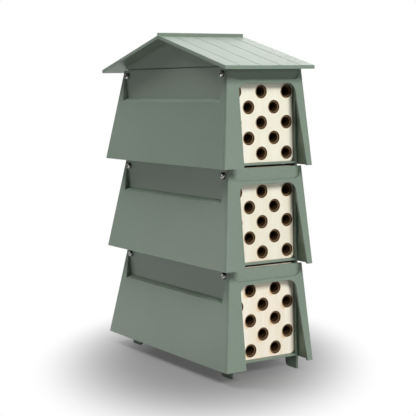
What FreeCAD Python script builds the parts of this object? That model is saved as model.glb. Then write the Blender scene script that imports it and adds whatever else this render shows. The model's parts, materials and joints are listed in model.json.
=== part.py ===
import FreeCAD, Part
import os
import re

# Bee hotel of three stacked tiers under a pitched roof. Millimetres, +Z up.
# The origin is on the ground below the middle of the roof. The tube ends look towards -Y and +Y,
# the flared side with the finger grip towards -X, and the flat side towards +X.

SIZES = {
    # outside of a tier, measured at the bottom of its skirt
    "skirt_width": 82.5,
    "skirt_depth": 196.0,
    "shell_height": 77.4,
    "side_inset": 12.7,
    "end_inset": 14.4,
    "panel": 2.2,
    "corner_gap": 0.1,
    # stacking: the gap between two tiers, and how far the tabs hang below the skirt
    "tier_gap": 1.0,
    "foot_drop": 10.0,
    # finger grip in the top of the left panel
    "grip_height": 26.7,
    "grip_ledge": 2.6,
    "grip_end_low": 2.3,
    "grip_end_top": 0.3,
    # arch and band of an end panel
    "arch_margin": 1.0,
    "arch_lintel": 2.8,
    "arch_draft": 5.8,
    "arch_round": 6.5,
    "band_height": 10.0,
    "band_margin": 0.8,
    "band_round": 6.0,
    # inner walls, their tabs and the frames that hold the plates
    "inner_wall": 2.1,
    "wall_end_gap": 0.5,
    "tab_length": 15.2,
    "tab_relief": 0.3,
    "tab_round": 4.0,
    "post_width": 0.9,
    "post_depth": 2.6,
    "sill_bottom": 0.8,
    "sill_height": 1.7,
    "sill_lip": 0.5,
    # plywood plates and cardboard tubes
    "plate_thickness": 3.0,
    "plate_set_back": 2.9,
    "plate_play": 0.3,
    "plate_headroom": 1.7,
    "plate_round": 3.5,
    "side_web": 1.3,
    "end_web": 2.25,
    "tube_diameter": 10.0,
    "tube_wall": 1.0,
    "tube_play": 0.15,
    "tube_set_back": 0.8,
    # screws of the left panel
    "screw_from_end": 4.6,
    "screw_from_top": 5.2,
    "screw_diameter": 3.0,
    "screw_play": 0.2,
    "screw_head": 5.6,
    "screw_head_height": 2.4,
    "screw_crown": 1.6,
    "screw_socket": 2.0,
    "screw_socket_depth": 1.0,
    # roof: how far it stands out past the skirt, and how far its eave hangs below the top tier's shell
    "side_overhang": 0.25,
    "end_overhang": 2.9,
    "eave_drop": 2.1,
    "roof_rise": 26.5,
    "roof_sheet": 2.8,
    "board_pitch": 18.75,
    "groove_width": 0.6,
    "groove_depth": 0.4,
    "ridge_width": 2.0,
    "ridge_height": 2.25,
    "gable_end_gap": 2.6,
    "gable_rail": 2.0,
    "gable_lip": 4.0,
    "seam_gap": 0.3,
}
TIERS = ("bottom", "middle", "top")
ROWS = 6
COLUMNS = 5
BOARD_GROOVES = (-1.5, -0.5, 0.5, 1.5)
FRONT, REAR = -1, 1
END_NAMES = {FRONT: "front", REAR: "rear"}

doc = FreeCAD.newDocument("bee_hotel")
sheet = doc.addObject("Spreadsheet::Sheet", "sizes")
for line, (alias, value) in enumerate(SIZES.items(), start=1):
    sheet.set(f"A{line}", alias)
    sheet.set(f"B{line}", str(value))
    sheet.setAlias(f"B{line}", alias)
doc.recompute()

# Levels and lines that several pieces share, as expressions of the sheet's sizes
TIER_PITCH = "(shell_height + tier_gap)"
LEFT_OUT = "(-skirt_width / 2)"
LEFT_TOP = "(-skirt_width / 2 + side_inset)"
RIGHT_OUT = "(skirt_width / 2)"
WALL_LEFT = "(-skirt_width / 2 + side_inset + panel)"
WALL_RIGHT = "(skirt_width / 2 - panel)"
INSIDE_LEFT = "(-skirt_width / 2 + side_inset + panel + inner_wall)"
INSIDE_RIGHT = "(skirt_width / 2 - panel - inner_wall)"
END_OUT = "(skirt_depth / 2)"
END_TOP = "(skirt_depth / 2 - end_inset)"
WALL_END = "(skirt_depth / 2 - end_inset - panel - wall_end_gap)"
PANEL_END = "(skirt_depth / 2 - end_inset - panel - corner_gap)"
WALL_TOP = "(shell_height + tier_gap - foot_drop)"
SILL_TOP = "(sill_bottom + sill_height)"
PLATE_OUT = f"({WALL_END} - plate_set_back)"
PLATE_IN = f"({PLATE_OUT} - plate_thickness)"
POST_OUT = f"({PLATE_IN} - plate_play)"
POST_IN = f"({POST_OUT} - post_depth)"
PLATE_LEFT = f"({INSIDE_LEFT} + plate_play)"
PLATE_RIGHT = f"({INSIDE_RIGHT} - plate_play)"
PLATE_TOP = f"({TIER_PITCH} + sill_bottom - plate_headroom)"
GRIP_LOW = "(shell_height - grip_height)"
BAND_LOW = "(shell_height - band_height)"
ARCH_TOP = "(shell_height - band_height - arch_lintel)"
SCREW_LEVEL = "(shell_height - screw_from_top)"
SCREW_Y = f"({PANEL_END} - screw_from_end)"
ROOF_SIDE = "(skirt_width / 2 + side_overhang)"
ROOF_EAVE = "(skirt_depth / 2 + end_overhang)"
GABLE_END = "(skirt_depth / 2 - end_inset - gable_end_gap)"
# How far a cut runs past a sheet, how far past the whole end of a tier, and how deep a backing block
# starts below the face that it thickens
PAST = "1"
BEYOND = "20"
SINK = "(panel / 4)"
FINE_SINK = "(panel / 20)"

UPRIGHT = FreeCAD.Rotation(FreeCAD.Vector(1, 0, 0), 90)
ALONG_X = FreeCAD.Rotation(FreeCAD.Vector(0, 1, 0), 90)
ALONG_Y = FreeCAD.Rotation(FreeCAD.Vector(1, 0, 0), -90)
LENGTHWISE = FreeCAD.Rotation()


def bound(expression):
    """An expression with each size's name turned into its cell of the sheet."""
    return re.sub(r"[a-z]\w*", lambda word: f"sizes.{word.group()}", str(expression))


def shifted(line, side, amount=""):
    """The place on one end of the hotel of a line measured from its middle."""
    return f"({side} * ({line} {amount}))"


def ordered(side, outer, inner):
    """The lower and upper Y of a stretch between two lines at one end."""
    return (shifted(outer, side), shifted(inner, side))[::-side]


def new_body(label, tier=None):
    """An empty body; a tier's body stands at the level of that tier's skirt."""
    body = doc.addObject("PartDesign::Body", label)
    body.Label = label
    body.AllowCompound = True
    if tier is not None:
        level = f"foot_drop + {TIERS.index(tier)} * {TIER_PITCH}"
        body.setExpression("Placement.Base.z", bound(level))
    return body


def wedge(body, name, kind, turn, axis, start, stop):
    """A wedge along its own Y between two rectangles, each given as low X, high X, low Z, high Z."""
    feature = body.newObject(f"PartDesign::{kind}Wedge", f"{body.Name}_{name}")
    feature.Placement = FreeCAD.Placement(FreeCAD.Vector(), turn)
    values = dict(zip(("Xmin", "Xmax", "Zmin", "Zmax"), start))
    values.update(zip(("X2min", "X2max", "Z2min", "Z2max"), stop))
    values.update(Ymin=axis[0], Ymax=axis[1])
    for prop, value in values.items():
        feature.setExpression(prop, bound(value))
    return feature


def upright(body, name, z, low, high=None, kind="Additive"):
    """A block that stands from z[0] to z[1]; low and high are its X0, X1, Y0, Y1 at the two ends."""

    def turned(rectangle):
        x0, x1, y0, y1 = rectangle
        return x0, x1, f"-({y1})", f"-({y0})"

    return wedge(body, name, kind, UPRIGHT, z, turned(low), turned(high or low))


def lengthwise(body, name, y, start, stop, kind="Additive"):
    """A block along Y; start and stop are its X0, X1, Z0, Z1 at the two ends."""
    return wedge(body, name, kind, LENGTHWISE, y, start, stop)


def cylinder(body, name, turn, radius, length, place, kind="Additive"):
    """A cylinder that starts at place and runs along the turned Z."""
    feature = body.newObject(f"PartDesign::{kind}Cylinder", f"{body.Name}_{name}")
    feature.Placement = FreeCAD.Placement(FreeCAD.Vector(), turn)
    feature.setExpression("Radius", bound(radius))
    feature.setExpression("Height", bound(length))
    for axis, value in zip("xyz", place):
        feature.setExpression(f"Placement.Base.{axis}", bound(value))
    return feature


def repeated(body, feature, axis, length, count):
    """Copies of a feature spread evenly over a length along one axis of its body."""
    pattern = body.newObject("PartDesign::LinearPattern", f"{feature.Name}_row")
    pattern.Originals = [feature]
    line = next(item for item in body.Origin.OriginFeatures if item.Role == f"{axis}_Axis")
    pattern.Direction = (line, [""])
    pattern.setExpression("Length", bound(length))
    pattern.Occurrences = count
    body.Tip = pattern
    return pattern


def rounded(body, name, radius, chosen):
    """A fillet on the edges of the body that the test picks."""
    doc.recompute()
    edges = [f"Edge{number}" for number, edge in enumerate(body.Tip.Shape.Edges, start=1) if chosen(edge)]
    base = body.Tip
    fillet = body.newObject("PartDesign::Fillet", f"{body.Name}_{name}")
    fillet.Base = (base, edges)
    fillet.setExpression("Radius", bound(radius))
    return fillet


def size(expression):
    """The present value of an expression of the sheet's sizes."""
    return float(sheet.evalExpression(bound(expression)))


def rounded_cut(body, name, y, x, z, radius, round_high):
    """Cuts a window through an end panel, with its upper or its lower two corners rounded."""
    (x0, x1), (z0, z1) = x, z
    centre_z = f"({z1} - {radius})" if round_high else f"({z0} + {radius})"
    square_z = (z0, centre_z) if round_high else (centre_z, z1)
    round_z = (centre_z, z1) if round_high else (z0, centre_z)
    upright(body, f"{name}_wide", square_z, (x0, x1, *y), kind="Subtractive")
    upright(body, f"{name}_narrow", round_z, (f"{x0} + {radius}", f"{x1} - {radius}", *y), kind="Subtractive")
    for corner, centre_x in (("left", f"{x0} + {radius}"), ("right", f"{x1} - {radius}")):
        cylinder(body, f"{name}_{corner}", ALONG_Y, radius, f"{y[1]} - ({y[0]})", (centre_x, y[0], centre_z),
                 kind="Subtractive")


def left_panel(tier):
    """Flared side panel with an upright finger grip and a sloping ledge below it."""
    body = new_body(f"{tier}_left_panel", tier)
    low_end = f"({END_OUT} - panel - corner_gap)"
    slope = "(side_inset / shell_height)"
    upright(body, "wall", ("0", "shell_height"), (LEFT_OUT, f"{LEFT_OUT} + panel", f"-{low_end}", low_end),
            (LEFT_TOP, f"{LEFT_TOP} + panel", f"-{PANEL_END}", PANEL_END))
    block_low = f"({GRIP_LOW} - panel)"
    block_face = f"({LEFT_OUT} + {slope} * {block_low} + {SINK})"
    upright(body, "grip_block", (block_low, "shell_height"),
            (block_face, WALL_LEFT, f"-{PANEL_END}", PANEL_END),
            (LEFT_TOP, WALL_LEFT, f"-{PANEL_END}", PANEL_END))
    lip_x = f"({LEFT_OUT} + {slope} * {GRIP_LOW})"
    far_x = f"{LEFT_OUT} - {BEYOND}"
    ledge_z = f"({GRIP_LOW} + grip_ledge)"
    low_half, top_half = f"({PANEL_END} - grip_end_low)", f"({PANEL_END} - grip_end_top)"
    upright(body, "grip_ledge", (GRIP_LOW, ledge_z), (far_x, lip_x, f"-{low_half}", low_half),
            (far_x, LEFT_TOP, f"-{low_half}", low_half), kind="Subtractive")
    upright(body, "grip", (ledge_z, f"shell_height + {PAST}"), (far_x, LEFT_TOP, f"-{low_half}", low_half),
            (far_x, LEFT_TOP, f"-{top_half}", top_half), kind="Subtractive")
    for end in (FRONT, REAR):
        place = (f"{LEFT_TOP} - {PAST}", shifted(SCREW_Y, end), SCREW_LEVEL)
        cylinder(body, f"{END_NAMES[end]}_screw_hole", ALONG_X, "screw_diameter / 2 + screw_play",
                 f"panel + 2 * {PAST}", place, kind="Subtractive")
    return body


def back_panel(tier):
    """Flat upright side panel between the two end panels."""
    body = new_body(f"{tier}_back_panel", tier)
    low_end = f"({END_OUT} - panel - corner_gap)"
    upright(body, "wall", ("0", "shell_height"), (WALL_RIGHT, RIGHT_OUT, f"-{low_end}", low_end),
            (WALL_RIGHT, RIGHT_OUT, f"-{PANEL_END}", PANEL_END))
    return body


def end_panel(tier, end):
    """Flared end with an arch that is open below and an upright band along its top edge."""
    body = new_body(f"{tier}_{END_NAMES[end]}_end_panel", tier)
    upright(body, "wall", ("0", "shell_height"),
            (LEFT_OUT, RIGHT_OUT, *ordered(end, END_OUT, f"{END_OUT} - panel")),
            (LEFT_TOP, RIGHT_OUT, *ordered(end, END_TOP, f"{END_TOP} - panel")))
    band_x = (f"{WALL_LEFT} + band_margin", f"{WALL_RIGHT} - band_margin")
    backing_x = (f"{WALL_LEFT} + corner_gap", f"{WALL_RIGHT} - corner_gap")
    upright(body, "band_back", (BAND_LOW, "shell_height"),
            (*backing_x, *ordered(end, END_TOP, f"{END_TOP} - panel")))
    bar_out = f"{END_TOP} + end_inset / shell_height * band_height - {FINE_SINK}"
    upright(body, "band_bar", (f"{ARCH_TOP} - {SINK}", BAND_LOW),
            (*backing_x, *ordered(end, bar_out, f"{END_TOP} - panel")))
    outward = ordered(end, f"{END_OUT} + {BEYOND}", END_TOP)
    rounded_cut(body, "band", outward, band_x, (BAND_LOW, f"shell_height + {PAST}"), "band_round", False)
    through = ordered(end, f"{END_OUT} + {BEYOND}", f"{END_TOP} - {BEYOND}")
    legs_x = (f"{INSIDE_LEFT} + arch_margin", f"{INSIDE_RIGHT} - arch_margin")
    head_x = (f"{legs_x[0]} + arch_draft / 2", f"{legs_x[1]} - arch_draft / 2")
    spring = f"({ARCH_TOP} - arch_round)"
    upright(body, "arch_legs", ("0", spring), (*legs_x, *through), (*head_x, *through), kind="Subtractive")
    rounded_cut(body, "arch", through, head_x, (f"{spring} - arch_round", ARCH_TOP), "arch_round", True)
    return body


def inner_wall(tier, side):
    """Upright inner wall; its two tabs stand on the ground or on the wall of the tier below."""
    body = new_body(f"{tier}_{side}_wall", tier)
    if side == "left":
        wall_x = (WALL_LEFT, INSIDE_LEFT)
        tab_x = (f"{WALL_LEFT} + tab_relief", INSIDE_LEFT)
    else:
        wall_x = (INSIDE_RIGHT, WALL_RIGHT)
        tab_x = (INSIDE_RIGHT, f"{WALL_RIGHT} - tab_relief")
    upright(body, "sheet", ("sill_bottom", WALL_TOP), (*wall_x, f"-{WALL_END}", WALL_END))
    for end in (FRONT, REAR):
        tab(body, end, tab_x, ("-foot_drop", "sill_bottom"))
    round_tabs(body)
    return body


def tab(body, end, x, z):
    """A locating tab at one end of a wall."""
    upright(body, f"{END_NAMES[end]}_tab", z, (*x, *ordered(end, WALL_END, f"{WALL_END} - tab_length")))


def round_tabs(body):
    """Rounds the lower corner of each tab that looks towards the middle."""
    doc.recompute()
    lowest = body.Tip.Shape.BoundBox.ZMin
    inner = size(f"{WALL_END} - tab_length")

    def chosen(edge):
        middle = edge.CenterOfMass
        return abs(middle.z - lowest) < 0.01 and abs(abs(middle.y) - inner) < 0.01

    rounded(body, "tab_corners", "tab_round", chosen)


def plate_frame(tier, end):
    """Two slim posts behind a plate and the sill that the plate stands on."""
    body = new_body(f"{tier}_{END_NAMES[end]}_frame", tier)
    upright(body, "sill", ("sill_bottom", SILL_TOP),
            (INSIDE_LEFT, INSIDE_RIGHT, *ordered(end, WALL_END, f"{POST_IN} - sill_lip")))
    post_y = ordered(end, POST_OUT, POST_IN)
    upright(body, "left_post", (SILL_TOP, WALL_TOP), (INSIDE_LEFT, f"{INSIDE_LEFT} + post_width", *post_y))
    upright(body, "right_post", (SILL_TOP, WALL_TOP), (f"{INSIDE_RIGHT} - post_width", INSIDE_RIGHT, *post_y))
    return body


def screws(tier):
    """The two pan-head screws in the upper corners of the left panel."""
    body = new_body(f"{tier}_screws", tier)
    for end in (FRONT, REAR):
        name = END_NAMES[end]
        y = shifted(SCREW_Y, end)
        cylinder(body, f"{name}_shank", ALONG_X, "screw_diameter / 2", "panel", (LEFT_TOP, y, SCREW_LEVEL))
        head_x = f"{LEFT_TOP} - screw_head_height"
        cylinder(body, f"{name}_head", ALONG_X, "screw_head / 2", "screw_head_height",
                 (head_x, y, SCREW_LEVEL))
    doc.recompute()
    rim = body.Tip.Shape.BoundBox.XMin

    def chosen(edge):
        return edge.BoundBox.XLength < 0.01 and abs(edge.CenterOfMass.x - rim) < 0.01

    rounded(body, "crowns", "screw_crown", chosen)
    for end in (FRONT, REAR):
        socket = body.newObject("PartDesign::SubtractivePrism", f"{body.Name}_{END_NAMES[end]}_socket")
        socket.Placement = FreeCAD.Placement(FreeCAD.Vector(), ALONG_X)
        socket.Polygon = 6
        socket.setExpression("Circumradius", bound("screw_socket / 2 / cos(30)").replace("sizes.cos", "cos"))
        socket.setExpression("Height", bound("screw_socket_depth"))
        place = (f"{LEFT_TOP} - screw_head_height", shifted(SCREW_Y, end), SCREW_LEVEL)
        for axis, value in zip("xyz", place):
            socket.setExpression(f"Placement.Base.{axis}", bound(value))
    return body


def row_columns(tier, row):
    """Columns of the lattice that are used in a row; the bottom tier's plates are turned upside down."""
    wide_row = row % 2 == (1 if tier == "bottom" else 0)
    return range(0, COLUMNS, 2) if wide_row else range(1, COLUMNS, 2)


def row_place(row, columns):
    """X of a row's first column, the width of the row, and the row's level."""
    from_side = "(side_web + tube_diameter / 2)"
    from_end = "(end_web + tube_diameter / 2)"
    column_pitch = f"(({PLATE_RIGHT} - {PLATE_LEFT} - 2 * {from_side}) / {COLUMNS - 1})"
    row_pitch = f"(({PLATE_TOP} - {SILL_TOP} - 2 * {from_end}) / {ROWS - 1})"
    first = f"({PLATE_LEFT} + {from_side} + {columns[0]} * {column_pitch})"
    width = f"{columns[-1] - columns[0]} * {column_pitch}"
    level = f"({SILL_TOP} + {from_end} + {row} * {row_pitch})"
    return first, width, level


def plate(tier, end):
    """Plywood plate with rounded corners and a hole for each tube."""
    body = new_body(f"{tier}_{END_NAMES[end]}_plate", tier)
    y = ordered(end, PLATE_OUT, PLATE_IN)
    upright(body, "sheet", (SILL_TOP, PLATE_TOP), (PLATE_LEFT, PLATE_RIGHT, *y))
    rounded(body, "corners", "plate_round",
            lambda edge: edge.BoundBox.XLength < 0.01 and edge.BoundBox.ZLength < 0.01)
    for row in range(ROWS):
        columns = row_columns(tier, row)
        first, width, level = row_place(row, columns)
        hole = cylinder(body, f"hole_{row + 1}", ALONG_Y, "tube_diameter / 2 + tube_play",
                        f"plate_thickness + 2 * {PAST}", (first, f"{y[0]} - {PAST}", level),
                        kind="Subtractive")
        repeated(body, hole, "X", width, len(columns))
    return body


def tube_row(tier, row):
    """One row of cardboard tubes that run from the front plate to the rear plate."""
    body = new_body(f"{tier}_tubes_row_{row + 1}", tier)
    columns = row_columns(tier, row)
    first, width, level = row_place(row, columns)
    start = f"(-{PLATE_OUT} + tube_set_back)"
    length = f"(2 * {PLATE_OUT} - 2 * tube_set_back)"
    outside = cylinder(body, "outside", ALONG_Y, "tube_diameter / 2", length, (first, start, level))
    repeated(body, outside, "X", width, len(columns))
    bore = cylinder(body, "bore", ALONG_Y, "tube_diameter / 2 - tube_wall", f"{length} + 2 * {PAST}",
                    (first, f"{start} - {PAST}", level), kind="Subtractive")
    repeated(body, bore, "X", width, len(columns))
    return body


def under_roof(y):
    """Level of the underside of the roof sheet at a distance from the ridge line."""
    return f"(shell_height - eave_drop + roof_rise * (1 - ({y}) / {ROOF_EAVE}))"


def along_slope(body, name, end, x, near, far, low, high, kind="Additive"):
    """A strip along one slope, from the ridge to the eave, between two offsets from the underside."""
    at_near = (*x, f"{under_roof(near)} + {low}", f"{under_roof(near)} + {high}")
    at_far = (*x, f"{under_roof(far)} + {low}", f"{under_roof(far)} + {high}")
    ends = (at_far, at_near)[::-end]
    return lengthwise(body, name, ordered(end, far, near), *ends, kind=kind)


def roof_half(end):
    """One grooved slope with its halves of the two gable walls, and the lips and tabs inside the top tier."""
    body = new_body(f"roof_{END_NAMES[end]}_half", "top")
    ridge = "(ridge_width / 2)"
    along_slope(body, "sheet", end, (f"-{ROOF_SIDE}", ROOF_SIDE), ridge, ROOF_EAVE, "0", "roof_sheet")
    seam = "(seam_gap / 2)"
    bite = "(roof_sheet / 2)"
    walls = {"left": (LEFT_TOP, WALL_LEFT), "right": (WALL_RIGHT, RIGHT_OUT)}
    rails = {"left": (WALL_LEFT, INSIDE_LEFT), "right": (INSIDE_RIGHT, WALL_RIGHT)}
    tabs = {"left": (f"{WALL_LEFT} + tab_relief", INSIDE_LEFT),
            "right": (INSIDE_RIGHT, f"{WALL_RIGHT} - tab_relief")}
    for side in walls:
        at_seam = (*walls[side], TIER_PITCH, under_roof(ridge))
        at_end = (*walls[side], TIER_PITCH, f"{under_roof(GABLE_END)} + {bite}")
        lengthwise(body, f"{side}_gable", ordered(end, GABLE_END, seam), *(at_end, at_seam)[::-end])
        upright(body, f"{side}_rail", (TIER_PITCH, f"{TIER_PITCH} + gable_rail"),
                (*rails[side], *ordered(end, WALL_END, seam)))
        upright(body, f"{side}_lip", (f"{TIER_PITCH} - gable_lip", TIER_PITCH),
                (*tabs[side], *ordered(end, WALL_END, seam)))
        upright(body, f"{side}_tab", (WALL_TOP, f"{TIER_PITCH} - gable_lip"),
                (*tabs[side], *ordered(end, WALL_END, f"{WALL_END} - tab_length")))
    round_tabs(body)
    for number, boards in enumerate(BOARD_GROOVES, start=1):
        x = (f"{boards} * board_pitch - groove_width / 2", f"{boards} * board_pitch + groove_width / 2")
        along_slope(body, f"groove_{number}", end, x, "0", f"{ROOF_EAVE} + {PAST}",
                    "roof_sheet - groove_depth", f"roof_sheet + {PAST}", kind="Subtractive")
    return body


def ridge_rib():
    """Thin rib held between the two roof halves."""
    body = new_body("ridge_rib", "top")
    half = "(ridge_width / 2)"
    upright(body, "rib", (under_roof(half), f"{under_roof(half)} + roof_sheet + ridge_height"),
            (f"-{ROOF_SIDE}", ROOF_SIDE, f"-{half}", half))
    return body


bodies = []
for tier in TIERS:
    bodies += [left_panel(tier), back_panel(tier), screws(tier)]
    bodies += [inner_wall(tier, side) for side in ("left", "right")]
    for end in (FRONT, REAR):
        bodies += [end_panel(tier, end), plate_frame(tier, end), plate(tier, end)]
    bodies += [tube_row(tier, row) for row in range(ROWS)]
bodies += [roof_half(FRONT), roof_half(REAR), ridge_rib()]
doc.recompute()

for item in doc.Objects:
    if "Invalid" in item.State or "Error" in item.State:
        raise RuntimeError(f"{item.Label} did not build: {item.State}")
for body in bodies:
    if body.Shape.isNull() or not body.Shape.isValid():
        raise RuntimeError(f"{body.Label} has no valid shape")

os.makedirs("parts", exist_ok=True)
for body in bodies:
    body.Shape.exportStep(f"parts/{body.Label}.step")
    print(f"{body.Label}: {len(body.Shape.Solids)} solids, {body.Shape.Volume / 1000:.2f} cm3")
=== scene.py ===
import json
import math

import bmesh
import bpy
from mathutils import Matrix, Vector

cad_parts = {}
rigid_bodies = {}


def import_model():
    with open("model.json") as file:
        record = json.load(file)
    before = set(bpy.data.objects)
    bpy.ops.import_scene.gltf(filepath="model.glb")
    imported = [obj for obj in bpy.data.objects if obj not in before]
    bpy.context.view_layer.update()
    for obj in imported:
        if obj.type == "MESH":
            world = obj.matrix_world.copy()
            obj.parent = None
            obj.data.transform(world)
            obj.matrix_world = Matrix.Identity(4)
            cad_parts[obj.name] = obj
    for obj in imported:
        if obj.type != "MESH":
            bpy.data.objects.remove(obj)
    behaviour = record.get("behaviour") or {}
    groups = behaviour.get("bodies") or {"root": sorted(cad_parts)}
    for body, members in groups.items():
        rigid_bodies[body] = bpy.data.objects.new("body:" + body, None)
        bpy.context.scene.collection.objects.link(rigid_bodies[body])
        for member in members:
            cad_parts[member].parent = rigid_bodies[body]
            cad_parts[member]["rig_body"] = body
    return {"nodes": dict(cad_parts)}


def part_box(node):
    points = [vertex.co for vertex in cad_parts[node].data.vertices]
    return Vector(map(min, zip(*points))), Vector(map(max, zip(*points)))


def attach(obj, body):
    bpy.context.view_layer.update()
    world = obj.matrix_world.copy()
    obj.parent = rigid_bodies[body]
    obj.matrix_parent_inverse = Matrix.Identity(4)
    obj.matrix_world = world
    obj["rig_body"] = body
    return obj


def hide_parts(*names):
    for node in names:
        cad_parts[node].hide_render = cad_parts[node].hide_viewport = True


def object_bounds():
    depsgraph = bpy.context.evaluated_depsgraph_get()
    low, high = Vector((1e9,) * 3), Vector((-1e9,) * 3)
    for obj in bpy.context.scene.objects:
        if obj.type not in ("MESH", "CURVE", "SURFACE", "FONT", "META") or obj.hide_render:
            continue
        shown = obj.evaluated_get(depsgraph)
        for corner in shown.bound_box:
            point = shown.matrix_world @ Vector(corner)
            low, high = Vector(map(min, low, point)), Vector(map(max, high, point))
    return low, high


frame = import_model()
cad_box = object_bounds()

# Inner walls: the upright sheets inside each tier that carry the stack. Their tabs are the feet of the
# bottom tier, and plug the other tiers into the one below. Injection-moulded polypropylene in sage green,
# moulded in one piece with the tabs, with softened edges.
mm = 0.001
TIERS = ("bottom", "middle", "top")
WALL_EDGE = 0.3 * mm
COLOUR_DRIFT = 45 * mm
MOULD_GRAIN = 0.8 * mm
MOULD_GRAIN_DEPTH = 0.05 * mm
MOULD_GRAIN_WEIGHT = 2.5
SAME_POINT = 0.002 * mm
SAME_PLANE = math.radians(1.5)
SHARP = math.radians(35)
ROUNDING_STEPS = 3
SLIVER = 0.001 * mm


def linear(hex_colour):
    """The linear colour of an sRGB hex value."""
    channels = [int(hex_colour[i:i + 2], 16) / 255 for i in (1, 3, 5)]
    return [c / 12.92 if c <= 0.04045 else ((c + 0.055) / 1.055) ** 2.4 for c in channels] + [1.0]


def add(tree, kind, links=None, values=None, **settings):
    """Adds a shader node with its settings, its fixed inputs and its linked inputs."""
    node = tree.nodes.new(kind)
    for name, value in settings.items():
        setattr(node, name, value)
    for socket, value in (values or {}).items():
        node.inputs[socket].default_value = value
    for socket, source in (links or {}).items():
        tree.links.new(source, node.inputs[socket])
    return node


def empty_material(name):
    """A new material with only its output node."""
    material = bpy.data.materials.new(name)
    material.use_nodes = True
    tree = material.node_tree
    tree.nodes.clear()
    return material, tree, tree.nodes.new("ShaderNodeOutputMaterial")


def moulded_polypropylene(name, shade, pale_shade):
    """Satin polypropylene from a spark-eroded mould: an even colour with a faint drift, a soft sheen that
    brightens at low angles, and a fine grain that is drawn at 0.8 mm so that it shows."""
    material, tree, output = empty_material(name)
    place = add(tree, "ShaderNodeTexCoord").outputs["Object"]
    drift = add(tree, "ShaderNodeTexNoise", {"Vector": place}, {"Scale": 1 / COLOUR_DRIFT, "Detail": 3.0})
    grain = add(tree, "ShaderNodeTexNoise", {"Vector": place}, {"Scale": 1 / MOULD_GRAIN, "Detail": 2.0})
    speckle = add(tree, "ShaderNodeMath", {0: grain.outputs["Fac"], 2: drift.outputs["Fac"]},
                  {1: MOULD_GRAIN_WEIGHT}, operation="MULTIPLY_ADD")
    shading = add(tree, "ShaderNodeMapRange", {"Value": speckle.outputs["Value"]},
                  {"From Min": 1.1, "From Max": 2.4})
    colour = add(tree, "ShaderNodeMix", {"Factor": shading.outputs["Result"]},
                 {"A": linear(shade), "B": linear(pale_shade)}, data_type="RGBA")
    sheen = add(tree, "ShaderNodeMapRange", {"Value": grain.outputs["Fac"]},
                {"From Min": 0.3, "From Max": 0.7, "To Min": 0.34, "To Max": 0.48})
    bump = add(tree, "ShaderNodeBump", {"Height": grain.outputs["Fac"]},
               {"Strength": 0.25, "Distance": MOULD_GRAIN_DEPTH})
    surface = add(tree, "ShaderNodeBsdfPrincipled",
                  {"Base Color": colour.outputs["Result"], "Roughness": sheen.outputs["Result"],
                   "Normal": bump.outputs["Normal"]}, {"IOR": 1.49})
    tree.links.new(surface.outputs["BSDF"], output.inputs["Surface"])
    return material


def shown(shape, name, material, body, node):
    """Turns a bmesh into a smooth piece that rides on a body in place of a CAD node."""
    mesh = bpy.data.meshes.new(name)
    shape.to_mesh(mesh)
    shape.free()
    mesh.shade_smooth()
    mesh.materials.append(material)
    piece = bpy.data.objects.new(name, mesh)
    bpy.context.scene.collection.objects.link(piece)
    piece.modifiers.new("even_faces", "WEIGHTED_NORMAL")
    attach(piece, body)
    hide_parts(node)
    return piece


def finished(node, roundings, material):
    """A copy of a CAD node with its flat faces joined and its sharp edges rounded, shown in its place.
    Each rounding is a radius and a test of an edge's middle, and is made on the sharp edges that pass."""
    shape = bmesh.new()
    shape.from_mesh(frame["nodes"][node].data)
    bmesh.ops.remove_doubles(shape, verts=shape.verts, dist=SAME_POINT)
    bmesh.ops.dissolve_limit(shape, angle_limit=SAME_PLANE, verts=shape.verts, edges=shape.edges)
    for radius, chosen in roundings:
        sharp = [e for e in shape.edges if len(e.link_faces) == 2 and e.calc_face_angle(0) > SHARP
                 and chosen((e.verts[0].co + e.verts[1].co) / 2)]
        bmesh.ops.bevel(shape, geom=sharp, offset=radius, offset_type="OFFSET", segments=ROUNDING_STEPS,
                        profile=0.5, affect="EDGES", material=-1, clamp_overlap=True)
    bmesh.ops.dissolve_degenerate(shape, dist=SLIVER, edges=shape.edges)
    return shown(shape, f"{node}_finished", material, frame["nodes"][node]["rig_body"], node)


def everywhere(middle):
    """The test of a rounding that all edges take."""
    return True


sage = moulded_polypropylene("sage_polypropylene", "#778678", "#819082")
for tier in TIERS:
    for side in ("left", "right"):
        finished(f"{tier}_{side}_wall", [(WALL_EDGE, everywhere)], sage)

# Plate frames: a sill that a plate stands on and two slim posts behind the plate, at each end of a tier.
# The same sage polypropylene, snapped between the inner walls.
ENDS = ("front", "rear")
FRAME_EDGE = 0.2 * mm
for tier in TIERS:
    for end in ENDS:
        finished(f"{tier}_{end}_frame", [(FRAME_EDGE, everywhere)], sage)

# Outer panels: the flared left side with its finger grip, the flat back and the two arched ends.
# Sage polypropylene mouldings; the end panels lap over the ends of the long panels and leave a fine joint.
# An end panel's top stands in from its foot by END_INSET, so its corners lean.
PANEL_EDGE = 0.55 * mm
END_PANEL_CORNER = 1.0 * mm
END_INSET = 14.4 * mm
HALF_WAY_PLAY = 1 * mm
CORNER_PLAY = 0.3 * mm
for tier in TIERS:
    for panel in ("left_panel", "back_panel"):
        finished(f"{tier}_{panel}", [(PANEL_EDGE, everywhere)], sage)
    for end in ENDS:
        low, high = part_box(f"{tier}_{end}_end_panel")

        def on_corner(middle):
            """Whether an edge is one of the two long outer corners, which run the whole height."""
            half_way = abs(middle.z - (low.z + high.z) / 2) < HALF_WAY_PLAY
            return half_way and abs(middle.y) > max(-low.y, high.y) - END_INSET / 2 - CORNER_PLAY

        finished(f"{tier}_{end}_end_panel", [(END_PANEL_CORNER, on_corner), (PANEL_EDGE, everywhere)],
                 sage)

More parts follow.
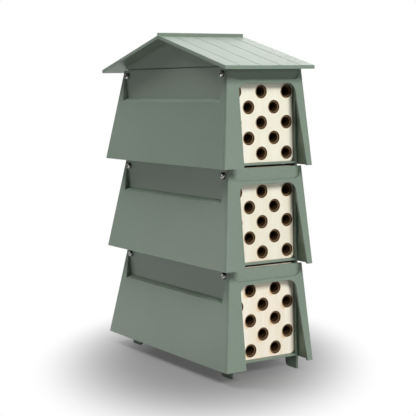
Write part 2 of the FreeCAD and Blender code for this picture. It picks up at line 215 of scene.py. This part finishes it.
# Screws: two pan heads in the upper corners of each left panel.
# Bright stainless steel, cold-headed, with a hexagon socket punched into the crown.
SCREW_HEAD_RADIUS = 2.8 * mm
SCREW_HEAD_HEIGHT = 2.4 * mm
SCREW_CROWN = 1.6 * mm
SCREW_CROWN_STEP = 10
SCREW_SHANK_RADIUS = 1.5 * mm
SCREW_SOCKET = 2.0 * mm
SCREW_SOCKET_DEPTH = 1.0 * mm
SCREW_SEGMENTS = 48
HEXAGON_SIDE = math.radians(60)
TUMBLING_MARK = 0.25 * mm


def stainless_steel(name):
    """Cold-headed stainless steel: a tumbled mirror finish that shows the white floor and the dark recess
    as sharp bright and black patches, with faint tumbling marks that are drawn 0.25 mm apart so that they
    show."""
    material, tree, output = empty_material(name)
    place = add(tree, "ShaderNodeTexCoord").outputs["Object"]
    mottle = add(tree, "ShaderNodeTexNoise", {"Vector": place}, {"Scale": 1 / TUMBLING_MARK, "Detail": 2.0})
    polish = add(tree, "ShaderNodeMapRange", {"Value": mottle.outputs["Fac"]},
                 {"To Min": 0.06, "To Max": 0.14})
    colour = add(tree, "ShaderNodeMix", {"Factor": mottle.outputs["Fac"]},
                 {"A": linear("#8A8A8A"), "B": linear("#A9A8A6")}, data_type="RGBA")
    surface = add(tree, "ShaderNodeBsdfPrincipled",
                  {"Base Color": colour.outputs["Result"], "Roughness": polish.outputs["Result"]},
                  {"Metallic": 1.0})
    tree.links.new(surface.outputs["BSDF"], output.inputs["Surface"])
    return material


def pan_head_screw(shape, seat, shank_length):
    """Spins a crowned head and its shank about the screw's own line along X, then sinks the socket.
    The rim of the socket is spun as a circle, and its points are then drawn in to the hexagon's sides."""
    crown = [(SCREW_HEAD_HEIGHT - SCREW_CROWN * (1 - math.cos(turn)),
              SCREW_HEAD_RADIUS - SCREW_CROWN * (1 - math.sin(turn)))
             for turn in (math.radians(step) for step in range(0, 91, SCREW_CROWN_STEP))]
    socket_radius = SCREW_SOCKET / 2 / math.cos(HEXAGON_SIDE / 2)
    shank = [(0, SCREW_HEAD_RADIUS), (0, SCREW_SHANK_RADIUS), (-shank_length, SCREW_SHANK_RADIUS)]
    outline = [(crown[0][0], socket_radius)] + crown + shank
    chain = [shape.verts.new(seat + Vector((-height, 0, radius))) for height, radius in outline]
    edges = [shape.edges.new(pair) for pair in zip(chain, chain[1:])]
    bmesh.ops.spin(shape, geom=chain + edges, cent=seat, axis=(1, 0, 0), angle=math.tau,
                   steps=SCREW_SEGMENTS, use_merge=True)
    open_edges = [e for e in shape.edges if e.is_boundary]
    mouth = [e for e in open_edges if e.verts[0].co.x < seat.x]
    tip = [e for e in open_edges if e.verts[0].co.x > seat.x]
    bmesh.ops.contextual_create(shape, geom=tip)
    for vert in {v for e in mouth for v in e.verts}:
        out = vert.co - seat
        turn = math.atan2(out.y, out.z) % HEXAGON_SIDE - HEXAGON_SIDE / 2
        drawn_in = SCREW_SOCKET / 2 / math.cos(turn) / math.hypot(out.y, out.z)
        vert.co.y = seat.y + out.y * drawn_in
        vert.co.z = seat.z + out.z * drawn_in
    sunk = bmesh.ops.extrude_edge_only(shape, edges=mouth)["geom"]
    floor_verts = [v for v in sunk if isinstance(v, bmesh.types.BMVert)]
    bmesh.ops.translate(shape, verts=floor_verts, vec=(SCREW_SOCKET_DEPTH, 0, 0))
    bmesh.ops.contextual_create(shape, geom=[e for e in sunk if isinstance(e, bmesh.types.BMEdge)])


steel = stainless_steel("stainless_steel")
for tier in TIERS:
    low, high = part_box(f"{tier}_screws")
    seat_x = low.x + SCREW_HEAD_HEIGHT
    screw_pair = bmesh.new()
    for seat_y in (low.y + SCREW_HEAD_RADIUS, high.y - SCREW_HEAD_RADIUS):
        pan_head_screw(screw_pair, Vector((seat_x, seat_y, (low.z + high.z) / 2)), high.x - seat_x)
    bmesh.ops.recalc_face_normals(screw_pair, faces=screw_pair.faces)
    shown(screw_pair, f"{tier}_screws_finished", steel, f"{tier}_shell", f"{tier}_screws")

# Nesting tubes: six rows of cardboard tubes in each tier, open at both ends, the home of the bees.
# Brown kraft paper wound in a spiral and glued, cut square; each tube is pushed through the two plates.
# Rows of three and of two tubes take turns, so a tier's tubes lie on two lattices of three rows each.
ROWS = range(1, 7)
LATTICE_ROWS = 3
WIDE_ROW_TUBES = 3
TUBE_RADIUS = 5.0 * mm
TUBE_WALL = 1.0 * mm
TUBE_EDGE = 0.25 * mm
STRIP_WIDTH = 26 * mm
GLUE_SHARE = 0.05
PAPER_FIBRE = 1.2 * mm
PAPER_FIBRE_DEPTH = 0.08 * mm
PALE_PLY = TUBE_RADIUS - 0.6 * TUBE_WALL
DARK_PLIES = TUBE_RADIUS - 0.4 * TUBE_WALL
# Painted shade in the bores: the radii where it is full and where it is gone, and the depth over which it
# darkens from the mouth.
BORE_SHADE_FULL = TUBE_RADIUS - 0.95 * TUBE_WALL
BORE_SHADE_GONE = TUBE_RADIUS - 0.85 * TUBE_WALL
BORE_SHADE_FADE = 11 * mm


def tube_groups(tier):
    """The two lattices that a tier's tubes lie on: first tube, spacing and last step in X and Z."""
    boxes = [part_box(f"{tier}_tubes_row_{row}") for row in ROWS]
    wide_low, wide_high = max(boxes, key=lambda box: box[1].x - box[0].x)
    spacing_x = (wide_high.x - wide_low.x - 2 * TUBE_RADIUS) / (WIDE_ROW_TUBES - 1)
    spacing_z = boxes[2][0].z - boxes[0][0].z
    for low, high in boxes[:2]:
        steps_x = round((high.x - low.x - 2 * TUBE_RADIUS) / spacing_x)
        first = Vector((low.x + TUBE_RADIUS, 0, low.z + TUBE_RADIUS))
        yield first, (spacing_x, 1, spacing_z), (steps_x, 0, LATTICE_ROWS - 1)


def from_nearest_tube(tree, place, tier):
    """Nodes that give the way in X and Z from the axis of the nearest tube, and its length."""
    ways = []
    for first, spacing, last_step in tube_groups(tier):
        from_first = add(tree, "ShaderNodeVectorMath", {0: place}, {1: first}, operation="SUBTRACT")
        flat = add(tree, "ShaderNodeVectorMath", {0: from_first.outputs["Vector"]}, {1: (1, 0, 1)},
                   operation="MULTIPLY")
        steps = add(tree, "ShaderNodeVectorMath", {0: flat.outputs["Vector"]}, {1: spacing},
                    operation="DIVIDE")
        half_up = add(tree, "ShaderNodeVectorMath", {0: steps.outputs["Vector"]}, {1: (0.5, 0.5, 0.5)},
                      operation="ADD")
        whole = add(tree, "ShaderNodeVectorMath", {0: half_up.outputs["Vector"]}, operation="FLOOR")
        not_before = add(tree, "ShaderNodeVectorMath", {0: whole.outputs["Vector"]}, {1: (0, 0, 0)},
                         operation="MAXIMUM")
        not_past = add(tree, "ShaderNodeVectorMath", {0: not_before.outputs["Vector"]}, {1: last_step},
                       operation="MINIMUM")
        axis = add(tree, "ShaderNodeVectorMath", {0: not_past.outputs["Vector"]}, {1: spacing},
                   operation="MULTIPLY")
        way = add(tree, "ShaderNodeVectorMath", {0: flat.outputs["Vector"], 1: axis.outputs["Vector"]},
                  operation="SUBTRACT")
        length = add(tree, "ShaderNodeVectorMath", {0: way.outputs["Vector"]}, operation="LENGTH")
        ways.append((way.outputs["Vector"], length.outputs["Value"]))
    (way_a, length_a), (way_b, length_b) = ways
    b_is_nearer = add(tree, "ShaderNodeMath", {0: length_a, 1: length_b}, operation="GREATER_THAN")
    way = add(tree, "ShaderNodeMix", {"Factor": b_is_nearer.outputs["Value"], "A": way_a, "B": way_b},
              data_type="VECTOR")
    length = add(tree, "ShaderNodeMath", {0: length_a, 1: length_b}, operation="MINIMUM")
    return way.outputs["Result"], length.outputs["Value"]


def kraft_board(tier, mouth):
    """Spiral-wound kraft board: matt brown with paper fibres and a dark glue line once a turn. The cut end
    shows its pale inner ply and dark outer plies, and the bore carries painted shade that turns it nearly
    black inside."""
    material, tree, output = empty_material(f"kraft_board_{tier}")
    place = add(tree, "ShaderNodeTexCoord").outputs["Object"]
    way, radius = from_nearest_tube(tree, place, tier)
    parts = add(tree, "ShaderNodeSeparateXYZ", {"Vector": way})
    along = add(tree, "ShaderNodeSeparateXYZ", {"Vector": place}).outputs["Y"]
    angle = add(tree, "ShaderNodeMath", {0: parts.outputs["Z"], 1: parts.outputs["X"]}, operation="ARCTAN2")
    turn = add(tree, "ShaderNodeMath", {0: angle.outputs["Value"]}, {1: math.tau}, operation="DIVIDE")
    lead = add(tree, "ShaderNodeMath", {0: along}, {1: STRIP_WIDTH}, operation="DIVIDE")
    wound = add(tree, "ShaderNodeMath", {0: turn.outputs["Value"], 1: lead.outputs["Value"]},
                operation="ADD")
    strip = add(tree, "ShaderNodeMath", {0: wound.outputs["Value"]}, operation="FRACT")
    glue = add(tree, "ShaderNodeMapRange", {"Value": strip.outputs["Value"]},
               {"From Min": 0.0, "From Max": GLUE_SHARE, "To Min": 1.0, "To Max": 0.0})
    fibre = add(tree, "ShaderNodeTexNoise", {"Vector": place}, {"Scale": 1 / PAPER_FIBRE, "Detail": 4.0})
    paper = add(tree, "ShaderNodeMix", {"Factor": fibre.outputs["Fac"]},
                {"A": linear("#5F462E"), "B": linear("#866645")}, data_type="RGBA")
    seamed = add(tree, "ShaderNodeMix", {"Factor": glue.outputs["Result"], "A": paper.outputs["Result"]},
                 {"B": linear("#463120")}, data_type="RGBA")
    from_middle = add(tree, "ShaderNodeMath", {0: along}, operation="ABSOLUTE")
    at_end = add(tree, "ShaderNodeMapRange", {"Value": from_middle.outputs["Value"]},
                 {"From Min": mouth - 2 * TUBE_EDGE, "From Max": mouth - TUBE_EDGE})
    plies = add(tree, "ShaderNodeMapRange", {"Value": radius},
                {"From Min": PALE_PLY, "From Max": DARK_PLIES})
    cut_end = add(tree, "ShaderNodeMix", {"Factor": plies.outputs["Result"]},
                  {"A": linear("#846B50"), "B": linear("#4E3A27")}, data_type="RGBA")
    ended = add(tree, "ShaderNodeMix", {"Factor": at_end.outputs["Result"], "A": seamed.outputs["Result"],
                                        "B": cut_end.outputs["Result"]}, data_type="RGBA")
    # Painted shade in the bore: the inner wall darkens to near black from the mouth inwards, standing in
    # for the shade deep in the tube.
    depth_shade = add(tree, "ShaderNodeMapRange", {"Value": from_middle.outputs["Value"]},
                {"From Min": mouth - BORE_SHADE_FADE, "From Max": mouth, "To Min": 1.0, "To Max": 0.35})
    in_bore = add(tree, "ShaderNodeMapRange", {"Value": radius},
                  {"From Min": BORE_SHADE_FULL, "From Max": BORE_SHADE_GONE, "To Min": 1.0, "To Max": 0.0})
    bore_shade = add(tree, "ShaderNodeMath", {0: depth_shade.outputs["Result"], 1: in_bore.outputs["Result"]},
                     operation="MULTIPLY")
    bore_shaded = add(tree, "ShaderNodeMix",
                  {"Factor": bore_shade.outputs["Value"], "A": ended.outputs["Result"]},
                  {"B": linear("#120B06")}, data_type="RGBA")
    bump = add(tree, "ShaderNodeBump", {"Height": fibre.outputs["Fac"]},
               {"Strength": 0.4, "Distance": PAPER_FIBRE_DEPTH})
    surface = add(tree, "ShaderNodeBsdfPrincipled",
                  {"Base Color": bore_shaded.outputs["Result"], "Normal": bump.outputs["Normal"]},
                  {"Roughness": 0.85, "Specular IOR Level": 0.15})
    tree.links.new(surface.outputs["BSDF"], output.inputs["Surface"])
    return material


for tier in TIERS:
    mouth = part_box(f"{tier}_tubes_row_1")[1].y
    kraft = kraft_board(tier, mouth)
    for row in ROWS:
        finished(f"{tier}_tubes_row_{row}", [(TUBE_EDGE, everywhere)], kraft)

# Plates: a drilled plate at each end of a tier, which holds the tube ends and closes the space around them.
# Birch plywood of three veneers, cut by laser, which browns the cut edges, singes the outline and leaves a
# scorched rim at the holes. The laser's smoke, drawn off to one side, left streaks.
PLATE_EDGE = 0.12 * mm
PLATE_ROUND = 3.5 * mm
VENEER = 1.0 * mm
HOLE_RADIUS = 5.15 * mm
PORE_SIZE = (0.9 * mm, 3 * mm, 28 * mm)
PORE_DEPTH = 0.06 * mm
FIGURE_SIZE = (9 * mm, 9 * mm, 70 * mm)
SCORCH_FULL = 0.05 * mm
SCORCH_GONE = 0.3 * mm
HALO = 0.6 * mm
SMOKE_WAY = Vector((-0.75, 0, -0.66))
SMOKE_STREAK = {"bottom": 2.6 * mm, "middle": 0.4 * mm, "top": 0.3 * mm}
SINGE_WIDTH = 0.5 * mm
SINGE_FULL = 0.05 * mm
PAST_ALL = 1.0  # metres: past every point of the hotel, so that Y never counts in the outline
# Ply colours per tier, partly the wood's own tone and partly painted light: the bottom plates are paler and
# the upper ones darker, to even out the light that reaches each tier.
PLY_TONE_AND_PAINTED_LIGHT = {"bottom": ("#F3E7D0", "#FCF7EA"), "middle": ("#EBE4CE", "#F2EEE0"), "top": ("#ECE7D3", "#F3F0E2")}


def birch_plywood(tier):
    """Bare birch plywood: cream white with a faint upright grain and a few darker streaks, a scorched rim
    and a tan halo of smoke at each hole, a singed outline, and dark brown cut edges that show the three
    veneers."""
    material, tree, output = empty_material(f"birch_plywood_{tier}")
    coordinates = add(tree, "ShaderNodeTexCoord")
    place = coordinates.outputs["Object"]
    fine = add(tree, "ShaderNodeMapping", {"Vector": place}, {"Scale": [1 / size for size in PORE_SIZE]})
    broad = add(tree, "ShaderNodeMapping", {"Vector": place}, {"Scale": [1 / size for size in FIGURE_SIZE]})
    pores = add(tree, "ShaderNodeTexNoise", {"Vector": fine.outputs["Vector"]},
                {"Scale": 1.0, "Detail": 3.0})
    figure = add(tree, "ShaderNodeTexNoise", {"Vector": broad.outputs["Vector"]},
                 {"Scale": 1.0, "Detail": 2.0})
    grained = add(tree, "ShaderNodeMath", {0: pores.outputs["Fac"], 1: figure.outputs["Fac"]},
                  operation="MULTIPLY")
    depth = add(tree, "ShaderNodeMapRange", {"Value": grained.outputs["Value"]},
                {"From Min": 0.15, "From Max": 0.4})
    dark_wood, pale_wood = PLY_TONE_AND_PAINTED_LIGHT[tier]
    wood = add(tree, "ShaderNodeMix", {"Factor": depth.outputs["Result"]},
               {"A": linear(dark_wood), "B": linear(pale_wood)}, data_type="RGBA")
    way, radius = from_nearest_tube(tree, place, tier)
    bearing = add(tree, "ShaderNodeVectorMath", {0: way}, operation="NORMALIZE")
    downwind = add(tree, "ShaderNodeVectorMath", {0: bearing.outputs["Vector"]}, {1: SMOKE_WAY},
                   operation="DOT_PRODUCT")
    reach = add(tree, "ShaderNodeMapRange", {"Value": downwind.outputs["Value"]},
                {"From Min": 0.8, "From Max": 1.0, "To Min": HOLE_RADIUS + HALO,
                 "To Max": HOLE_RADIUS + HALO + SMOKE_STREAK[tier]})
    halo = add(tree, "ShaderNodeMapRange", {"Value": radius, "From Max": reach.outputs["Result"]},
               {"From Min": HOLE_RADIUS, "To Min": 0.75, "To Max": 0.0})
    hazed = add(tree, "ShaderNodeMix", {"Factor": halo.outputs["Result"], "A": wood.outputs["Result"]},
                {"B": linear("#DDAE63")}, data_type="RGBA")
    scorch = add(tree, "ShaderNodeMapRange", {"Value": radius},
                 {"From Min": HOLE_RADIUS + SCORCH_FULL, "From Max": HOLE_RADIUS + SCORCH_GONE,
                  "To Min": 1.0, "To Max": 0.0})
    rimmed = add(tree, "ShaderNodeMix", {"Factor": scorch.outputs["Result"], "A": hazed.outputs["Result"]},
                 {"B": linear("#4A3019")}, data_type="RGBA")
    low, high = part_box(f"{tier}_front_plate")
    half = (high - low) / 2
    from_middle = add(tree, "ShaderNodeVectorMath", {0: place}, {1: (low + high) / 2}, operation="SUBTRACT")
    one_quarter = add(tree, "ShaderNodeVectorMath", {0: from_middle.outputs["Vector"]},
                      operation="ABSOLUTE")
    from_corner = add(tree, "ShaderNodeVectorMath", {0: one_quarter.outputs["Vector"]},
                      {1: (half.x - PLATE_ROUND, PAST_ALL, half.z - PLATE_ROUND)}, operation="SUBTRACT")
    outside = add(tree, "ShaderNodeVectorMath", {0: from_corner.outputs["Vector"]}, {1: (0, 0, 0)},
                  operation="MAXIMUM")
    reached = add(tree, "ShaderNodeVectorMath", {0: outside.outputs["Vector"]}, operation="LENGTH")
    outline = add(tree, "ShaderNodeMapRange", {"Value": reached.outputs["Value"]},
                  {"From Min": PLATE_ROUND - SINGE_WIDTH, "From Max": PLATE_ROUND - SINGE_FULL,
                   "To Max": 0.8})
    singed = add(tree, "ShaderNodeMix",
                 {"Factor": outline.outputs["Result"], "A": rimmed.outputs["Result"]},
                 {"B": linear("#8A6238")}, data_type="RGBA")
    facing = add(tree, "ShaderNodeSeparateXYZ", {"Vector": coordinates.outputs["Normal"]}).outputs["Y"]
    flatness = add(tree, "ShaderNodeMath", {0: facing}, operation="ABSOLUTE")
    cut = add(tree, "ShaderNodeMapRange", {"Value": flatness.outputs["Value"]},
              {"From Min": 0.35, "From Max": 0.75, "To Min": 1.0, "To Max": 0.0})
    across = add(tree, "ShaderNodeSeparateXYZ", {"Vector": place}).outputs["Y"]
    veneers = add(tree, "ShaderNodeMath", {0: across}, {1: VENEER}, operation="PINGPONG")
    layer = add(tree, "ShaderNodeMapRange", {"Value": veneers.outputs["Value"]},
                {"From Min": 0.3 * VENEER, "From Max": 0.7 * VENEER})
    burnt = add(tree, "ShaderNodeMix", {"Factor": layer.outputs["Result"]},
                {"A": linear("#3A2616"), "B": linear("#6E4B2B")}, data_type="RGBA")
    colour = add(tree, "ShaderNodeMix", {"Factor": cut.outputs["Result"], "A": singed.outputs["Result"],
                                         "B": burnt.outputs["Result"]}, data_type="RGBA")
    bump = add(tree, "ShaderNodeBump", {"Height": pores.outputs["Fac"]},
               {"Strength": 0.3, "Distance": PORE_DEPTH})
    surface = add(tree, "ShaderNodeBsdfPrincipled",
                  {"Base Color": colour.outputs["Result"], "Normal": bump.outputs["Normal"]},
                  {"Roughness": 0.62, "IOR": 1.5})
    tree.links.new(surface.outputs["BSDF"], output.inputs["Surface"])
    return material


for tier in TIERS:
    plywood = birch_plywood(tier)
    for end in ENDS:
        finished(f"{tier}_{end}_plate", [(PLATE_EDGE, everywhere)], plywood)

# Roof halves: two grooved slopes with their gable walls, which plug into the top tier with tabs.
# Sage polypropylene, moulded, with a well-rounded rim along the eaves and the sides; the halves are pressed
# together, so the play between their gable walls is closed here.
ROOF_RIM = 0.8 * mm
RIM_PLAY = 0.1 * mm
GROOVE_EDGE = 0.12 * mm
SEAM_PLAY = 0.3 * mm
NEAR_SEAM = 0.55 * SEAM_PLAY
for node in ("roof_front_half", "roof_rear_half"):
    low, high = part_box(node)

    def on_rim(middle):
        """Whether an edge runs along the roof's eave or its sides."""
        past_side = abs(middle.x) > high.x - RIM_PLAY
        return past_side or abs(middle.y) > max(-low.y, high.y) - RIM_PLAY

    roof_half = finished(node, [(ROOF_RIM, on_rim), (GROOVE_EDGE, everywhere)], sage)
    for vert in roof_half.data.vertices:
        if abs(vert.co.y) < NEAR_SEAM:
            vert.co.y = 0.0

# Ridge rib: the thin bar between the two roof halves along the ridge.
# Sage polypropylene, moulded, held in the joint of the halves.
RIB_EDGE = 0.4 * mm
finished("ridge_rib", [(RIB_EDGE, everywhere)], sage)

# Floor: a sheet of matt white paper that the hotel stands on, with a painted shadow around the hotel: a
# soft dark patch.
# There it is mostly plain paper that takes the lamps' shadow, under a dim glow that paints the patch;
# further out it glows as white as the backdrop.
FLOOR_REACH = 0.8
# The painted shadow on the floor: a turned ellipse, dim near the hotel and full white past its edge.
PAINTED_SHADE_WIDTH = 63 * mm
PAINTED_SHADE_LENGTH = 107 * mm
PAINTED_SHADE_TURN = math.radians(32)
PAINTED_SHADE_FULL = 0.6
PAINTED_SHADE_GONE = 2.35
PAINTED_SHADE_GLOW = 0.2
PAINTED_SHADE_GLOW_SHARE = 0.45
scene = bpy.context.scene
scene.view_settings.view_transform = "Standard"
floor_mesh = bpy.data.meshes.new("floor")
floor_shape = bmesh.new()
bmesh.ops.create_grid(floor_shape, x_segments=1, y_segments=1, size=FLOOR_REACH)
floor_shape.to_mesh(floor_mesh)
floor_shape.free()
floor = bpy.data.objects.new("floor", floor_mesh)
scene.collection.objects.link(floor)
white_paper, tree, output = empty_material("white_paper")
rays = add(tree, "ShaderNodeLightPath")
seen = add(tree, "ShaderNodeMath", {0: rays.outputs["Is Camera Ray"], 1: rays.outputs["Is Glossy Ray"]},
           operation="MAXIMUM")
looked_at = add(tree, "ShaderNodeMath", {0: seen.outputs["Value"], 1: rays.outputs["Is Transmission Ray"]},
                operation="MAXIMUM")
spot = add(tree, "ShaderNodeTexCoord").outputs["Object"]
turned = add(tree, "ShaderNodeMapping", {"Vector": spot}, {"Rotation": (0, 0, PAINTED_SHADE_TURN)})
steps = add(tree, "ShaderNodeVectorMath", {0: turned.outputs["Vector"]},
            {1: (PAINTED_SHADE_WIDTH, PAINTED_SHADE_LENGTH, 1)}, operation="DIVIDE")
away = add(tree, "ShaderNodeVectorMath", {0: steps.outputs["Vector"]}, operation="LENGTH")
# Painted shadow: inside the ellipse the glow is dim and shares the surface with the paper; it rises to full
# white further out.
painted_shade_fade = add(tree, "ShaderNodeMapRange", {"Value": away.outputs["Value"]},
           {"From Min": PAINTED_SHADE_FULL, "From Max": PAINTED_SHADE_GONE}, interpolation_type="SMOOTHSTEP")
paper = add(tree, "ShaderNodeBsdfDiffuse", values={"Color": linear("#969696")})
brightness = add(tree, "ShaderNodeMapRange", {"Value": painted_shade_fade.outputs["Result"]},
                 {"To Min": PAINTED_SHADE_GLOW, "To Max": 1.0})
glow = add(tree, "ShaderNodeEmission", {"Strength": brightness.outputs["Result"]},
           {"Color": linear("#FFFFFF")})
painted_shade_share = add(tree, "ShaderNodeMapRange", {"Value": painted_shade_fade.outputs["Result"]},
               {"To Min": PAINTED_SHADE_GLOW_SHARE, "To Max": 1.0})
glowing = add(tree, "ShaderNodeMath", {0: painted_shade_share.outputs["Result"], 1: looked_at.outputs["Value"]},
              operation="MULTIPLY")
sweep = add(tree, "ShaderNodeMixShader",
            {0: glowing.outputs["Value"], 1: paper.outputs["BSDF"], 2: glow.outputs["Emission"]})
tree.links.new(sweep.outputs["Shader"], output.inputs["Surface"])
floor_mesh.materials.append(white_paper)

# Backdrop: the white of the studio. The camera sees it all round, gloss and mirrors see it on the side away
# from the camera, and to everything else it is a faint even light.
AMBIENT = 0.07
BACKDROP_WAY = Vector((0.53, 0.85, 0.0))
world = bpy.data.worlds.new("studio")
scene.world = world
world.use_nodes = True
tree = world.node_tree
tree.nodes.clear()
output = tree.nodes.new("ShaderNodeOutputWorld")
rays = add(tree, "ShaderNodeLightPath")
direction = add(tree, "ShaderNodeTexCoord").outputs["Generated"]
towards_backdrop = add(tree, "ShaderNodeVectorMath", {0: direction}, {1: BACKDROP_WAY},
                       operation="DOT_PRODUCT")
mirrored_white = add(tree, "ShaderNodeMapRange", {"Value": towards_backdrop.outputs["Value"]},
                     {"From Min": 0.5, "From Max": 0.85, "To Min": AMBIENT, "To Max": 1.0})
mirrors = add(tree, "ShaderNodeMath",
              {0: rays.outputs["Is Glossy Ray"], 1: rays.outputs["Is Transmission Ray"]},
              operation="MAXIMUM")
in_mirrors = add(tree, "ShaderNodeMath", {0: mirrors.outputs["Value"], 1: mirrored_white.outputs["Result"]},
                 operation="MULTIPLY")
seen = add(tree, "ShaderNodeMath", {0: rays.outputs["Is Camera Ray"], 1: in_mirrors.outputs["Value"]},
           operation="MAXIMUM")
strength = add(tree, "ShaderNodeMath", {0: seen.outputs["Value"]}, {1: AMBIENT}, operation="MAXIMUM")
backdrop = add(tree, "ShaderNodeBackground", {"Strength": strength.outputs["Value"]},
               {"Color": linear("#FFFFFF")})
tree.links.new(backdrop.outputs["Background"], output.inputs["Surface"])


# Lamps: seven square soft boxes around the hotel, as in a small studio, all turned to its middle.
# The key and the left fill leave no glare on the satin plastic; the others may show in it. Places and
# widths are in metres, powers in watts.
def soft_box(name, place, width, power, mirrored=True):
    """A square studio lamp that looks at the middle of the hotel; an unmirrored one leaves no glare."""
    lamp = bpy.data.lights.new(name, "AREA")
    lamp.size = width
    lamp.energy = power
    holder = bpy.data.objects.new(name, lamp)
    holder.location = place
    holder.visible_glossy = mirrored
    aim = (cad_box[0] + cad_box[1]) / 2 - Vector(place)
    holder.rotation_euler = aim.to_track_quat("-Z", "Y").to_euler()
    scene.collection.objects.link(holder)


soft_box("key", place=(-0.08, -1.5, 1.05), width=0.55, power=24, mirrored=False)
soft_box("front_fill", place=(0.2, -1.9, 0.3), width=0.5, power=5.5)
soft_box("overhead", place=(-0.1, -0.1, 1.8), width=1.2, power=3)
soft_box("left_fill", place=(-0.39, 0.65, 1.05), width=0.45, power=12.4, mirrored=False)
soft_box("side_fill", place=(-0.9, 0.9, 0.12), width=0.2, power=1.1)
soft_box("rear_fill", place=(1.1, 1.2, 0.35), width=0.9, power=14)
soft_box("back_light", place=(0.9, 1.3, 0.9), width=0.9, power=2.5)

# Camera: a pinhole camera at the photograph's place, fitted to the tiers, the roof and the holes.
# Its focal length is in pixels of the square frame, and it looks a little down with a slight roll.
FOCAL_PIXELS = 1162.7
FRAME_PIXELS = 416
SENSOR = 36.0
CAMERA_PLACE = Vector((-514.0, -831.3, 230.6)) * mm
CAMERA_AZIMUTH = math.radians(-31.96)
CAMERA_ELEVATION = math.radians(6.04)
CAMERA_ROLL = math.radians(-0.74)
camera_data = bpy.data.cameras.new("camera")
camera_data.sensor_width = SENSOR
camera_data.lens = SENSOR * FOCAL_PIXELS / FRAME_PIXELS
camera_data.clip_start = 0.05
camera_data.clip_end = 50.0
camera = bpy.data.objects.new("camera", camera_data)
turn = (Matrix.Rotation(CAMERA_AZIMUTH, 4, "Z") @ Matrix.Rotation(math.pi / 2 - CAMERA_ELEVATION, 4, "X")
        @ Matrix.Rotation(CAMERA_ROLL, 4, "Z"))
camera.matrix_world = Matrix.Translation(CAMERA_PLACE) @ turn
scene.collection.objects.link(camera)
scene.camera = camera
